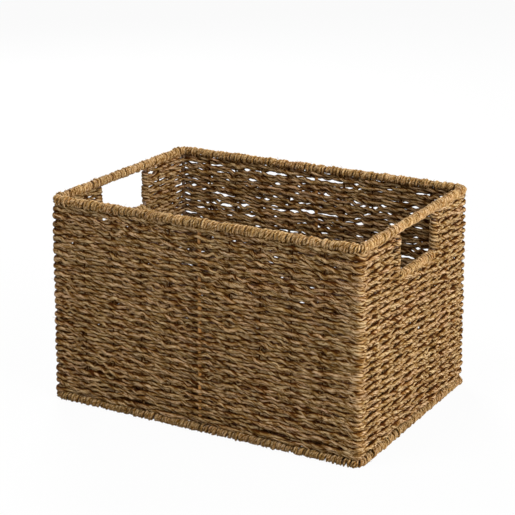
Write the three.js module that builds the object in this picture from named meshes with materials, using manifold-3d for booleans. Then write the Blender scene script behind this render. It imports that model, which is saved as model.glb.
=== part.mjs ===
// A rectangular magazine basket: a wire frame with upright cords, walls and a base woven over them
// in plain weave, a wrapped rim, wrapped foot edge and a hand hole with a wrapped sill at each end.
// Millimetres, +Z up, the long side along X, origin on the floor under the middle of the basket.

import * as THREE from "three";
import { mergeVertices } from "three/addons/utils/BufferGeometryUtils.js";
import Module from "manifold-3d";

const wasm = await Module();
wasm.setup();

// Driving dimensions
const rimLength = 352; // outside of the wrapped rim, along X
const rimWidth = 251; // outside of the wrapped rim, along Y
const height = 219; // floor to the top of the rim
const wallFlare = 3; // how much further out each wall stands at the foot than at the rim
const cornerBend = 8; // bend of the frame wires at the corners, at their centre line
const uprightBend = 8; // bend of the cords and of the hoop where wall meets base

// Frame wire, cords and the strand wound over them
const frameWireRadius = 2;
const cordRadius = 1.5; // the upright cords
const weftThickness = 3.5; // a weft cord, where it passes over an upright
const wrapThickness = 2.75; // the wound strand, outside the frame wire
const sillWrapThickness = 2.5; // the wound strand round the sill of a hand hole
const restFlat = 0.5; // how deep the foot edge is pressed flat where it stands

// Weave
const coursePitch = 3.7; // one weft course on the walls
const baseCoursePitch = 8; // one weft course on the base
const weaveSkin = 0.7; // least thickness left between an upright's hole and the hollow of the weave
const baseCornerCut = 3; // the base weave's corners are cut off by this much

// Uprights
const longWallCords = 4; // on each side of the mid hoop, along a long wall
const sillCordShare = 1 / 3; // of the way from the middle of an end wall to the hand hole's hoop
const cheekCordShares = [0.344, 0.688]; // of the way from the hoop to the corner post

// Hand holes
const handHoleWidth = 78;
const handHoleHeight = 39.3;
const hoopBend = 10; // bend of the wire hoop at the lower corners of a hand hole
const holeCornerRise = 7.4; // height of the slanted lower corners of a hand hole

// Fits
const clearance = 0.3; // between pieces that touch on the real basket
const cutOverrun = 1; // how far a cutting shape runs past what it cuts

// Fineness of the round forms
const wireSides = 6; // of wires and cords, which the weave or the wound strand hides
const bendSteps = 3;
const cornerSteps = 2;
const wrapSteps = 10;
const slotSteps = 4;
const flatTolerance = 0.01; // points nearer than this to a flat face are left out of it

// What follows from the sizes above
const wrapRadius = frameWireRadius + wrapThickness;
const sillWrapRadius = frameWireRadius + sillWrapThickness;
const slotHalf = frameWireRadius + clearance;
const weaveReach = cordRadius + weftThickness;
const weaveHollow = frameWireRadius + clearance + weaveSkin;
const rimZ = height - wrapRadius;
const footZ = wrapRadius - restFlat;
const weaveTop = height - 2 * wrapRadius - clearance;
const weaveBottom = footZ + wrapRadius + clearance;
const sillZ = height - 2 * wrapRadius - handHoleHeight - sillWrapRadius;
const underSill = sillZ - sillWrapRadius - clearance;
const hoopBottomReach = uprightBend + wrapRadius + frameWireRadius + clearance;
const baseZ = footZ - uprightBend + Math.sqrt(hoopBottomReach ** 2 - uprightBend ** 2);
const cornerAngle = Math.PI / 4;
const quarterTurn = Math.PI / 2;

const longWall = { halfSpan: rimLength / 2 - wrapRadius, halfDepth: rimWidth / 2 - wrapRadius };
const endWall = { halfSpan: longWall.halfDepth, halfDepth: longWall.halfSpan };

// How far the walls have moved out from their place at the rim, at a height above the floor.
function flareAt(z) {
  return (wallFlare * (rimZ - z)) / (rimZ - footZ);
}

// A place on a wall's centre line, in the wall's own frame: x runs along the wall and -y points out.
// A place is a distance along the straight stretch, or an angle round the bend at one of its ends.
function onWall(wall, place, z) {
  const halfSpan = wall.halfSpan + flareAt(z);
  const halfDepth = wall.halfDepth + flareAt(z);
  if (place.side === undefined) {
    return {
      point: new THREE.Vector3(place.along, -halfDepth, z),
      outward: new THREE.Vector3(0, -1, 0),
      tangent: new THREE.Vector3(1, 0, 0),
    };
  }
  const sine = Math.sin(place.angle);
  const cosine = Math.cos(place.angle);
  const outward = new THREE.Vector3(place.side * sine, -cosine, 0);
  const centre = new THREE.Vector3(place.side * (halfSpan - cornerBend), cornerBend - halfDepth, z);
  return {
    point: centre.addScaledVector(outward, cornerBend),
    outward,
    tangent: new THREE.Vector3(cosine, place.side * sine, 0),
  };
}

// A path of chosen stations, each with its direction, so that a sweep has rings only where it bends.
class StationPath extends THREE.Curve {
  constructor(stations) {
    super();
    this.stations = stations;
  }

  get steps() {
    return this.stations.length - 1;
  }

  getPointAt(share, target = new THREE.Vector3()) {
    return target.copy(this.stations[Math.round(share * this.steps)].point);
  }

  getTangentAt(share, target = new THREE.Vector3()) {
    return target.copy(this.stations[Math.round(share * this.steps)].tangent);
  }

  getPoint(share, target) {
    return this.getPointAt(share, target);
  }
}

// The stations of a run of straight stretches whose corners are rounded to one bend radius.
function bentRun(corners, bend) {
  const stations = [];
  const last = corners.length - 1;
  const direction = (i) => corners[i + 1].clone().sub(corners[i]).normalize();
  stations.push({ point: corners[0].clone(), tangent: direction(0) });
  for (let i = 1; i < last; i++) {
    const before = direction(i - 1);
    const after = direction(i);
    const turn = before.angleTo(after);
    const reach = bend * Math.tan(turn / 2);
    const inward = after.clone().addScaledVector(before, -before.dot(after)).normalize();
    const start = corners[i].clone().addScaledVector(before, -reach);
    for (let step = 0; step <= bendSteps; step++) {
      const angle = (turn * step) / bendSteps;
      stations.push({
        point: start
          .clone()
          .addScaledVector(before, bend * Math.sin(angle))
          .addScaledVector(inward, bend * (1 - Math.cos(angle))),
        tangent: before.clone().multiplyScalar(Math.cos(angle)).addScaledVector(inward, Math.sin(angle)),
      });
    }
  }
  stations.push({ point: corners[last].clone(), tangent: direction(last - 1) });
  return stations;
}

// The same run with both ends moved along their own direction, outwards when the length is positive.
function lengthened(stations, length) {
  const first = stations[0];
  const last = stations[stations.length - 1];
  return [
    { point: first.point.clone().addScaledVector(first.tangent, -length), tangent: first.tangent },
    ...stations.slice(1, -1),
    { point: last.point.clone().addScaledVector(last.tangent, length), tangent: last.tangent },
  ];
}

// Points on an arc, for outlines.
function arcPoints(radius, from, to, steps) {
  const points = [];
  for (let step = 0; step <= steps; step++) {
    const angle = from + ((to - from) * step) / steps;
    points.push(new THREE.Vector2(radius * Math.cos(angle), radius * Math.sin(angle)));
  }
  return points;
}

function roundSection(radius) {
  return new THREE.Shape(arcPoints(radius, 0, 2 * Math.PI, wireSides).slice(0, -1));
}

// A section swept along stations, closed at both ends.
function sweep(section, stations) {
  const path = new StationPath(stations);
  return new THREE.ExtrudeGeometry(section, { steps: path.steps, extrudePath: path });
}

function rod(stations, radius) {
  return sweep(roundSection(radius), stations);
}

// A geometry as a solid for cutting, and back.
function toSolid(geometry) {
  const bare = geometry.clone();
  bare.deleteAttribute("normal");
  bare.deleteAttribute("uv");
  const merged = mergeVertices(bare);
  return new wasm.Manifold(
    new wasm.Mesh({
      numProp: 3,
      vertProperties: new Float32Array(merged.attributes.position.array),
      triVerts: new Uint32Array(merged.index.array),
    }),
  );
}

function toGeometry(solid) {
  const mesh = solid.getMesh();
  const geometry = new THREE.BufferGeometry();
  geometry.setAttribute("position", new THREE.BufferAttribute(mesh.vertProperties, 3));
  geometry.setIndex(new THREE.BufferAttribute(mesh.triVerts, 1));
  geometry.computeVertexNormals();
  return geometry;
}

function cutAway(geometry, cutters) {
  let solid = toSolid(geometry);
  for (const cutter of cutters) solid = solid.subtract(toSolid(cutter));
  return toGeometry(solid.simplify(flatTolerance));
}

// Frame wires: the rim and the foot are closed rings, and posts stand between them.
function ringWire(z) {
  const halfLength = longWall.halfSpan + flareAt(z);
  const halfWidth = longWall.halfDepth + flareAt(z);
  const corner = (x, y) => new THREE.Vector3(x * halfLength, y * halfWidth, z);
  const corners = [corner(0, -1), corner(1, -1), corner(1, 1), corner(-1, 1), corner(-1, -1), corner(0, -1)];
  const path = new StationPath(bentRun(corners, cornerBend));
  return new THREE.TubeGeometry(path, path.steps, frameWireRadius, wireSides, true);
}

const uprightTop = rimZ - frameWireRadius - clearance;
const uprightBottom = footZ + frameWireRadius + clearance;

function uprightStations(wall, place, bottom, top) {
  return bentRun([onWall(wall, place, bottom).point, onWall(wall, place, top).point], 0);
}

// A cord or wire that goes down one long wall, under the basket's floor and up the other.
function throughStations(along) {
  const down = [uprightTop, baseZ].map((z) => onWall(longWall, { along }, z).point);
  const up = [down[1].clone(), down[0].clone()];
  for (const point of up) point.y = -point.y;
  return bentRun([...down, ...up], uprightBend);
}

// The hoop of a hand hole, in its end wall's frame: down one side, along the sill and up the other.
const legAlong = handHoleWidth / 2 + weaveReach;

function hoopStations() {
  const places = [
    [-legAlong, uprightTop],
    [-legAlong, sillZ],
    [legAlong, sillZ],
    [legAlong, uprightTop],
  ];
  return bentRun(places.map(([along, z]) => onWall(endWall, { along }, z).point), hoopBend);
}

// Where the uprights stand along the walls, evenly on a long wall and round the hole on an end wall
const postInset = cornerBend * (1 - Math.sin(cornerAngle));
const longSpacing = (longWall.halfSpan - postInset) / (longWallCords + 1);
const throughPlaces = [];
for (let i = -longWallCords; i <= longWallCords; i++) throughPlaces.push(i * longSpacing);
const cordPlaces = throughPlaces.filter((along) => along !== 0);
const shortPlaces = [-1, -sillCordShare, sillCordShare, 1].map((share) => share * legAlong);
const cheekSpan = endWall.halfSpan - postInset - legAlong;
const besideHole = cheekCordShares.map((share) => legAlong + share * cheekSpan);
const longPlaces = [...besideHole.map((along) => -along).reverse(), ...besideHole];

// The edges between weft courses, from the foot to the rim, with one of them under the sills
const lowerCourses = Math.round((underSill - weaveBottom) / coursePitch);
const upperCourses = Math.round((weaveTop - underSill) / coursePitch);
const courseCount = lowerCourses + upperCourses;

function courseEdge(index) {
  if (index <= lowerCourses) {
    return weaveBottom + ((underSill - weaveBottom) * index) / lowerCourses;
  }
  return underSill + ((weaveTop - underSill) * (index - lowerCourses)) / upperCourses;
}

// The heights of a panel's rows: its lower edge, the middle of each course and its upper edge.
function panelRows(from, to) {
  const rows = [{ z: courseEdge(from) + (from > 0 ? clearance / 2 : 0), course: from }];
  for (let course = from; course < to; course++) {
    rows.push({ z: (courseEdge(course) + courseEdge(course + 1)) / 2, course });
  }
  rows.push({ z: courseEdge(to) - (to < courseCount ? clearance / 2 : 0), course: to - 1 });
  return rows;
}

// The columns of a panel where it ends at a corner. The long walls' weave carries on round the bend
// to meet the end walls' weave, which stops where the bend starts.
function endColumns(wall, side) {
  const endGap = (side * clearance) / 2;
  if (wall === endWall) return [{ side, angle: 0, endGap }];
  return [
    { side, angle: 2 * cornerAngle, endGap },
    { side, angle: cornerAngle },
    { side, angle: 0 },
  ];
}

// A weft is outside one upright and inside the next, and the course above it the other way round.
// The outer and the inner face swell over an upright where the weft passes on that side of it.
function weaveOffset(outside, weftOutside) {
  const size = outside === weftOutside ? weaveReach : weaveHollow;
  return outside ? size : -size;
}

// A woven panel: a slab whose two faces have one row a course and one column an upright.
function wovenPanel(wall, columns, rows, phase) {
  const geometry = new THREE.BoxGeometry(1, 1, 1, columns.length - 1, rows.length - 1, 1);
  const positions = geometry.attributes.position;
  for (let i = 0; i < positions.count; i++) {
    const across = Math.round((positions.getX(i) + 1 / 2) * (columns.length - 1));
    const up = Math.round((positions.getY(i) + 1 / 2) * (rows.length - 1));
    const outside = positions.getZ(i) > 0;
    const column = columns[across];
    const row = rows[up];
    const place = column.alongAt ? { along: column.alongAt(row.z) } : column;
    const { point, outward, tangent } = onWall(wall, place, row.z);
    const weftOutside = (column.upright + row.course + phase) % 2 === 0;
    const offset = column.halfThickness
      ? (outside ? 1 : -1) * column.halfThickness
      : weaveOffset(outside, weftOutside);
    point.addScaledVector(outward, offset);
    if (column.endGap) point.addScaledVector(tangent, -column.endGap);
    positions.setXYZ(i, point.x, point.y, point.z);
  }
  return geometry;
}

// Columns in order along a wall, each with the number of its upright; a bend has its corner's number.
function columnsAcross(wall, alongs) {
  return [
    ...endColumns(wall, -1).map((column) => ({ ...column, upright: 0 })),
    ...alongs.map((along, i) => ({ along, upright: i + 1 })),
    ...endColumns(wall, 1).reverse().map((column) => ({ ...column, upright: alongs.length + 1 })),
  ];
}

function wideBore(stations, radius) {
  return rod(lengthened(stations, cutOverrun), radius + clearance);
}

function postStations(side) {
  return uprightStations(longWall, { side, angle: cornerAngle }, uprightBottom, uprightTop);
}

// Panels of the walls. The phase of the weave carries on round the corners.
function longWallPanel(phase) {
  const columns = columnsAcross(longWall, throughPlaces);
  const panel = wovenPanel(longWall, columns, panelRows(0, courseCount), phase);
  const bores = throughPlaces.map((along) =>
    wideBore(throughStations(along), along === 0 ? frameWireRadius : cordRadius),
  );
  const posts = [-1, 1].map((side) => wideBore(postStations(side), frameWireRadius));
  return cutAway(panel, [...bores, ...posts]);
}

const endPlaces = [...longPlaces.slice(0, 2), ...shortPlaces, ...longPlaces.slice(2)];

function lowerEndPanel(phase) {
  const columns = columnsAcross(endWall, endPlaces);
  const panel = wovenPanel(endWall, columns, panelRows(0, lowerCourses), phase);
  const bores = endPlaces.map((along) =>
    wideBore(uprightStations(endWall, { along }, uprightBottom, uprightTop), cordRadius),
  );
  return cutAway(panel, bores);
}

// The weave beside a hand hole, whose courses turn back round the hoop's leg. Its lower corner runs
// in to the end of the wrapped sill, and slants up to the side of the hole.
const sillHalf = legAlong - hoopBend;

function holeEdge(z) {
  const sillTop = sillZ + sillWrapRadius;
  const share = THREE.MathUtils.clamp((z - sillTop) / holeCornerRise, 0, 1);
  return THREE.MathUtils.lerp(sillHalf + clearance / 2, handHoleWidth / 2, share);
}

function cheekPanel(side, phase) {
  const outer = columnsAcross(endWall, endPlaces);
  const edgeColumn = (upright) => ({
    alongAt: (z) => side * holeEdge(z),
    halfThickness: weaveHollow,
    upright,
  });
  const count = outer.length / 2 - 1;
  const columns = side < 0
    ? [...outer.slice(0, count), edgeColumn(count)]
    : [edgeColumn(endPlaces.length + 1 - count), ...outer.slice(-count)];
  const panel = wovenPanel(endWall, columns, panelRows(lowerCourses, courseCount), phase);
  const cords = longPlaces
    .filter((along) => Math.sign(along) === side)
    .map((along) => uprightStations(endWall, { along }, uprightBottom, uprightTop));
  return cutAway(panel, [
    ...cords.map((stations) => wideBore(stations, cordRadius)),
    wideBore(hoopStations(), frameWireRadius),
  ]);
}

// The woven base: its wefts run along the basket and cross the cords that come down the long walls.
function basePanel() {
  const top = baseZ + weaveReach;
  const inset = weaveReach + clearance;
  const halfLength = longWall.halfSpan + flareAt(top) - inset;
  const halfWidth = longWall.halfDepth + flareAt(top) - inset;
  const columns = [
    { x: -halfLength, cut: baseCornerCut },
    { x: baseCornerCut - halfLength, cut: 0 },
    ...throughPlaces.map((x) => ({ x, cut: 0 })),
    { x: halfLength - baseCornerCut, cut: 0 },
    { x: halfLength, cut: baseCornerCut },
  ];
  const courses = Math.round((2 * halfWidth) / baseCoursePitch);
  const rowShares = [-1];
  for (let course = 0; course < courses; course++) rowShares.push((2 * course + 1) / courses - 1);
  rowShares.push(1);
  const geometry = new THREE.BoxGeometry(1, 1, 1, columns.length - 1, rowShares.length - 1, 1);
  const positions = geometry.attributes.position;
  for (let i = 0; i < positions.count; i++) {
    const across = Math.round((positions.getX(i) + 1 / 2) * (columns.length - 1));
    const row = Math.round((positions.getY(i) + 1 / 2) * (rowShares.length - 1));
    const above = positions.getZ(i) > 0;
    const { x, cut } = columns[across];
    const y = (halfWidth - cut) * rowShares[row];
    positions.setXYZ(i, x, y, baseZ + weaveOffset(above, (across + row) % 2 === 0));
  }
  const bores = throughPlaces.map((along) =>
    wideBore(throughStations(along), along === 0 ? frameWireRadius : cordRadius),
  );
  return cutAway(geometry, bores);
}

// Sleeves of wound strand, slotted along the side where the uprights come in. In their outline x
// points down and y into the basket.
function sleeveSection(radius, slotFacesDown, flatDepth) {
  const slotAngle = Math.asin(slotHalf / radius);
  const flatAngle = Math.acos((radius - flatDepth) / radius);
  const outer = flatDepth > 0
    ? [
        ...arcPoints(radius, slotAngle, Math.PI - flatAngle, wrapSteps / 2),
        ...arcPoints(radius, Math.PI + flatAngle, 2 * Math.PI - slotAngle, wrapSteps / 2),
      ]
    : arcPoints(radius, slotAngle, 2 * Math.PI - slotAngle, wrapSteps);
  const inner = arcPoints(slotHalf, -quarterTurn, -quarterTurn - Math.PI, slotSteps);
  const points = [...outer, ...inner];
  if (!slotFacesDown) {
    for (const point of points) point.x = -point.x;
    points.reverse();
  }
  return new THREE.Shape(points);
}

// A sleeve along one wall at one height, from the middle of one corner to the middle of the next.
function wallSleeve(wall, z, slotFacesDown, flatDepth) {
  const stations = [];
  for (let step = cornerSteps; step >= 0; step--) {
    stations.push(onWall(wall, { side: -1, angle: (cornerAngle * step) / cornerSteps }, z));
  }
  for (let step = 0; step <= cornerSteps; step++) {
    stations.push(onWall(wall, { side: 1, angle: (cornerAngle * step) / cornerSteps }, z));
  }
  const section = sleeveSection(wrapRadius, slotFacesDown, flatDepth);
  return sweep(section, lengthened(stations, -clearance / 2));
}

function rimSleeve(wall) {
  return wallSleeve(wall, rimZ, true, 0);
}

function footSleeve(wall) {
  return wallSleeve(wall, footZ, false, restFlat);
}

function sillSleeve() {
  const stations = [-sillHalf, sillHalf].map((along) => onWall(endWall, { along }, sillZ));
  return sweep(sleeveSection(sillWrapRadius, true, 0), lengthened(stations, -clearance / 2));
}

// Colours and finishes
const finishes = {
  wire: { color: 0x6b4a2c, roughness: 0.55, metalness: 0.6 },
  hoop: { color: 0x9a6223, roughness: 0.5, metalness: 0.4 },
  cord: { color: 0x5e4628, roughness: 0.9, metalness: 0 },
  weft: { color: 0x9c7a4c, roughness: 0.85, metalness: 0 },
  wrap: { color: 0xb0915c, roughness: 0.85, metalness: 0 },
};

const basket = new THREE.Group();

function add(group, name, geometry, finish) {
  const mesh = new THREE.Mesh(geometry, new THREE.MeshStandardMaterial(finishes[finish]));
  mesh.name = name;
  group.add(mesh);
}

// Each wall is made facing the front and turned to its place.
function wallGroup(turn) {
  const group = new THREE.Group();
  group.rotation.z = turn;
  basket.add(group);
  return group;
}

function addLongWall(name, turn, phase) {
  const group = wallGroup(turn);
  add(group, `${name}_weave`, longWallPanel(phase), "weft");
  add(group, `rim_wrap_${name}`, rimSleeve(longWall), "wrap");
  add(group, `foot_wrap_${name}`, footSleeve(longWall), "wrap");
  add(group, `corner_post_${name}_1`, rod(postStations(-1), frameWireRadius), "wire");
  add(group, `corner_post_${name}_2`, rod(postStations(1), frameWireRadius), "wire");
}

function addEndWall(name, turn, phase) {
  const group = wallGroup(turn);
  add(group, `${name}_lower_weave`, lowerEndPanel(phase), "weft");
  add(group, `${name}_cheek_weave_1`, cheekPanel(-1, phase), "weft");
  add(group, `${name}_cheek_weave_2`, cheekPanel(1, phase), "weft");
  add(group, `rim_wrap_${name}`, rimSleeve(endWall), "wrap");
  add(group, `foot_wrap_${name}`, footSleeve(endWall), "wrap");
  add(group, `${name}_hand_hoop`, rod(hoopStations(), frameWireRadius), "wire");
  add(group, `${name}_sill_wrap`, sillSleeve(), "wrap");
  endPlaces.forEach((along, i) => {
    const top = shortPlaces.includes(along) ? shortCordTop(along) : uprightTop;
    const stations = uprightStations(endWall, { along }, uprightBottom, top);
    add(group, `${name}_cord_${i + 1}`, rod(stations, cordRadius), "cord");
  });
}

// The short cords end under the sill wire, or under the weave beside the hole where the wire bends.
function shortCordTop(along) {
  const underWire = sillZ - frameWireRadius - clearance;
  return Math.abs(along) < sillHalf ? underWire : underSill - clearance / 2;
}

add(basket, "rim_wire", ringWire(rimZ), "wire");
add(basket, "foot_wire", ringWire(footZ), "wire");
add(basket, "mid_hoop", rod(throughStations(0), frameWireRadius), "hoop");
cordPlaces.forEach((along, i) => {
  add(basket, `through_cord_${i + 1}`, rod(throughStations(along), cordRadius), "cord");
});
add(basket, "base_weave", basePanel(), "weft");

const longUprights = throughPlaces.length + 1;
const endUprights = endPlaces.length + 1;
addLongWall("front", 0, 0);
addEndWall("right", quarterTurn, longUprights);
addLongWall("back", 2 * quarterTurn, longUprights + endUprights);
addEndWall("left", -quarterTurn, 2 * longUprights + endUprights);

export default basket;
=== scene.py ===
import math

import bpy
import numpy as np
from bpy.props import FloatProperty, FloatVectorProperty, IntProperty, PointerProperty
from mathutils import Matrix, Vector


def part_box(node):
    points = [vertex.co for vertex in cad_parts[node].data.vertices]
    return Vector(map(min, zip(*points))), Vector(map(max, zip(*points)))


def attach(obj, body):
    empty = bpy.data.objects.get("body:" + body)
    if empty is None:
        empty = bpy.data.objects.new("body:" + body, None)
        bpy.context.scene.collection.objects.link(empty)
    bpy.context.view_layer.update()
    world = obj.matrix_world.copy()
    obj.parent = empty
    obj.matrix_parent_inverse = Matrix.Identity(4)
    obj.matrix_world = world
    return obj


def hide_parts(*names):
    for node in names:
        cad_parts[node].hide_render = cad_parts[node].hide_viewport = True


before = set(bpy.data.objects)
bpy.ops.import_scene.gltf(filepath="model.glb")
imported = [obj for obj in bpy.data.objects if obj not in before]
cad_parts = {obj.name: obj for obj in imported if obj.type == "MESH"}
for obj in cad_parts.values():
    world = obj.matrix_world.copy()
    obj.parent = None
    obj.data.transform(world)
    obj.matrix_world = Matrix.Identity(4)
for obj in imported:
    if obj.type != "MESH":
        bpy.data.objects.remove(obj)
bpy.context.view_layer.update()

bl_info = {
    "name": "Seagrass Magazine Basket",
    "version": (1, 0, 0),
    "blender": (4, 5, 0),
    "location": "View3D > Sidebar > Basket",
    "description": "Weaves a magazine basket of twisted seagrass cord over its wire frame",
    "category": "Add Mesh",
}

MM = 0.001
HALF_TURN = math.pi
FULL_TURN = 2 * math.pi
UP = np.array([0.0, 0.0, 1.0])
ALONG_LENGTH = np.array([1.0, 0.0, 0.0])
ALONG_WIDTH = np.array([0.0, 1.0, 0.0])

# The uprights, counted round the basket from the front left corner, with the corner posts.
# The legs of the hand hoops are the third ones from the corners.
LONG_WALL_CORDS = 8
END_WALL_CORDS = 8
LONG_COUNT = LONG_WALL_CORDS + 2
END_COUNT = END_WALL_CORDS + 1
UPRIGHTS = 2 * (LONG_COUNT + END_COUNT)
CORNERS = (0, LONG_COUNT, LONG_COUNT + END_COUNT, UPRIGHTS - END_COUNT, UPRIGHTS)
NEAR_CORNER = CORNERS[1]
FAR_CORNER = CORNERS[3]
MID_UPRIGHTS = (LONG_COUNT // 2, CORNERS[2] + LONG_COUNT // 2)
CORNER_TO_LEG = 3
RIGHT_LEGS = (CORNERS[1] + CORNER_TO_LEG, CORNERS[2] - CORNER_TO_LEG)
LEFT_LEGS = (CORNERS[3] + CORNER_TO_LEG, CORNERS[4] - CORNER_TO_LEG)


# Places read from the frame
def middle(node, axis):
    low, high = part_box(node)
    return (low[axis] + high[axis]) / 2


RIM_Z = middle("rim_wire", 2)
FOOT_Z = middle("foot_wire", 2)
SILL_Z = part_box("left_hand_hoop")[0].z + (RIM_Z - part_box("rim_wire")[0].z)
WRAP_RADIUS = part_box("rim_wrap_front")[1].z - RIM_Z
SILL_WRAP_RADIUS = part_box("left_sill_wrap")[1].z - SILL_Z
HALF_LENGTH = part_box("rim_wrap_right")[1].x - WRAP_RADIUS
HALF_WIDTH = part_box("rim_wrap_back")[1].y - WRAP_RADIUS
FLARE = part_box("foot_wrap_right")[1].x - WRAP_RADIUS - HALF_LENGTH
WEAVE_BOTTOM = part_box("front_weave")[0].z
WEAVE_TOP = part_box("front_weave")[1].z
UNDER_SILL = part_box("left_lower_weave")[1].z
BASE_Z = middle("base_weave", 2)
LONG_PLACES = sorted([middle(f"through_cord_{i + 1}", 0) for i in range(LONG_WALL_CORDS)] + [0.0])
END_PLACES = sorted(middle(f"right_cord_{i + 1}", 1) for i in range(END_WALL_CORDS))
LEG_PLACE = END_PLACES[-CORNER_TO_LEG]
HOOP_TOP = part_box("left_hand_hoop")[1].z
HOOP_BEND = 10 * MM
UPRIGHT_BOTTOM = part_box("left_cord_1")[0].z


class BasketCordSettings(bpy.types.PropertyGroup):
    """The cords that the basket is woven from."""

    weft_reach: FloatProperty(
        name="Weft reach", description="From a weft's middle to the crown of a ply",
        default=2.15 * MM, unit="LENGTH")
    weft_groove: FloatProperty(
        name="Weft groove", description="From a weft's middle to the groove between its plies",
        default=1.76 * MM, unit="LENGTH")
    weft_lay: FloatProperty(
        name="Weft lay", description="Length in which a ply goes once round its cord",
        default=33 * MM, unit="LENGTH")
    upright_reach: FloatProperty(
        name="Upright reach", description="From an upright cord's middle to the crown of a ply",
        default=1.5 * MM, unit="LENGTH")
    wire_radius: FloatProperty(
        name="Wire radius", description="Radius of the frame's wires",
        default=2.0 * MM, unit="LENGTH")
    course_pitch: FloatProperty(
        name="Course pitch", description="Height of one weft course on the walls",
        default=3.7 * MM, unit="LENGTH")
    base_pitch: FloatProperty(
        name="Base pitch", description="Width of one pair of wefts on the base",
        default=7.4 * MM, unit="LENGTH")
    base_thickness: FloatProperty(
        name="Base thickness", description="Thickness of the base's wefts, as a share of the walls'",
        default=1.45, subtype="FACTOR")
    corner_bend: FloatProperty(
        name="Corner bend", description="Bend of the wires at the corners",
        default=8 * MM, unit="LENGTH")
    weave_bend: FloatProperty(
        name="Weave bend", description="Bend of the wefts at the corners",
        default=3 * MM, unit="LENGTH")
    swing: FloatProperty(
        name="Swing", description="Distance by which a loose weft would pass outside or inside an upright",
        default=2.6 * MM, unit="LENGTH")
    spread: FloatProperty(
        name="Spread", description="Share by which a weft is pressed taller where it passes an upright",
        default=0.25, subtype="FACTOR")
    slack: FloatProperty(
        name="Slack", description="Share by which the wefts are thinner in loose patches",
        default=0.14, subtype="FACTOR")
    openings: IntProperty(
        name="Openings", description="Places on the walls where two courses stand apart", default=3000)
    opening: FloatProperty(
        name="Opening", description="How far a course is pushed aside at the widest openings",
        default=1.65 * MM, unit="LENGTH")
    unevenness: FloatProperty(
        name="Unevenness", description="Share by which a cord is thicker or thinner in places",
        default=0.08, subtype="FACTOR")
    drift: FloatProperty(
        name="Drift", description="How far a course strays from its height",
        default=0.55 * MM, unit="LENGTH")
    step: FloatProperty(
        name="Step", description="Length of cord between two rings of its mesh",
        default=1.4 * MM, unit="LENGTH")
    seed: IntProperty(name="Seed", description="Picks how the cords vary", default=7)


class BasketWindingSettings(bpy.types.PropertyGroup):
    """The strand wound over the rim, the foot and the sills of the hand holes."""

    pitch: FloatProperty(
        name="Pitch", description="Width that one turn covers", default=2.0 * MM, unit="LENGTH")
    reach: FloatProperty(
        name="Reach", description="From the strand's middle to the crown of a ply",
        default=1.35 * MM, unit="LENGTH")
    groove: FloatProperty(
        name="Groove", description="From the strand's middle to the groove between its plies",
        default=0.9 * MM, unit="LENGTH")
    lay: FloatProperty(
        name="Lay", description="Length in which a ply goes once round its strand",
        default=9 * MM, unit="LENGTH")
    starts: IntProperty(name="Strands", description="Strands wound side by side", default=2)
    steps: IntProperty(name="Steps", description="Rings of the mesh in one turn", default=16)
    unevenness: FloatProperty(
        name="Unevenness", description="How far the turns stand in or out",
        default=0.6 * MM, unit="LENGTH")


class BasketFibreSettings(bpy.types.PropertyGroup):
    """The loose ends of leaf that stand out of the weave."""

    count: IntProperty(
        name="Count", description="Loose fibres on the walls and on the windings", default=1800)
    shortest: FloatProperty(
        name="Shortest", description="Length of the shortest fibres", default=3 * MM, unit="LENGTH")
    longest: FloatProperty(
        name="Longest", description="Length of the longest fibres", default=6 * MM, unit="LENGTH")
    radius: FloatProperty(
        name="Radius", description="Radius of a fibre at its root", default=0.2 * MM, unit="LENGTH")


class BasketFinishSettings(bpy.types.PropertyGroup):
    """Colours of the seagrass and of the wires."""

    # Strength of the painted shade, which darkens and browns the leaf in its grooves and crevices and
    # between its fibres
    painted_shade: FloatProperty(
        name="Shade", description="How much browner the leaf is in the grooves", default=1.26)
    straw_colour: FloatVectorProperty(
        name="Straw", description="Most of the leaf", subtype="COLOR",
        size=3, default=(0.54, 0.371, 0.216))
    olive_colour: FloatVectorProperty(
        name="Olive", description="Greener leaf", subtype="COLOR",
        size=3, default=(0.51, 0.373, 0.2))
    rose_colour: FloatVectorProperty(
        name="Rose", description="Pinker leaf", subtype="COLOR",
        size=3, default=(0.55, 0.36, 0.225))
    pale_colour: FloatVectorProperty(
        name="Pale", description="Palest leaf", subtype="COLOR",
        size=3, default=(0.6, 0.441, 0.28))
    wire_colour: FloatVectorProperty(
        name="Wire", description="Brown paint of the frame wires", subtype="COLOR",
        size=3, default=(0.2, 0.115, 0.058))
    hoop_colour: FloatVectorProperty(
        name="Hoop", description="Orange-brown coat of the middle hoop", subtype="COLOR",
        size=3, default=(0.55, 0.25, 0.05))


class BasketStageSettings(bpy.types.PropertyGroup):
    """Where the camera stands, and the studio light."""

    azimuth: FloatProperty(
        name="Azimuth", description="Turn of the camera from the front",
        default=math.radians(29.62), subtype="ANGLE")
    elevation: FloatProperty(
        name="Elevation", description="Height of the camera above the horizon",
        default=math.radians(17.63), subtype="ANGLE")
    distance: FloatProperty(
        name="Distance", description="From the camera to the point it looks at",
        default=1592.1 * MM, unit="LENGTH")
    target: FloatVectorProperty(
        name="Target", description="The point the camera looks at",
        size=3, default=(-4.85 * MM, 0, 145.9 * MM), unit="LENGTH")
    lens: FloatProperty(
        name="Lens", description="Focal length on a sensor 36 mm wide", default=107.85)
    key_power: FloatProperty(
        name="Key light", description="Power of the lamp on the right", default=51, unit="POWER")
    fill_power: FloatProperty(
        name="Fill light", description="Power of the lamp above the front", default=21, unit="POWER")
    back_power: FloatProperty(
        name="Back light", description="Power of the lamp behind the basket", default=44, unit="POWER")
    room_light: FloatProperty(
        name="Room light", description="Strength of the light from all round", default=0.13)


# Places on the walls. Along a ring round the basket, s is the length from the front left corner.
def flare_at(z):
    """How much further out than at the rim the walls stand at a height."""
    return FLARE * (RIM_Z - z) / (RIM_Z - FOOT_Z)


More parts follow.
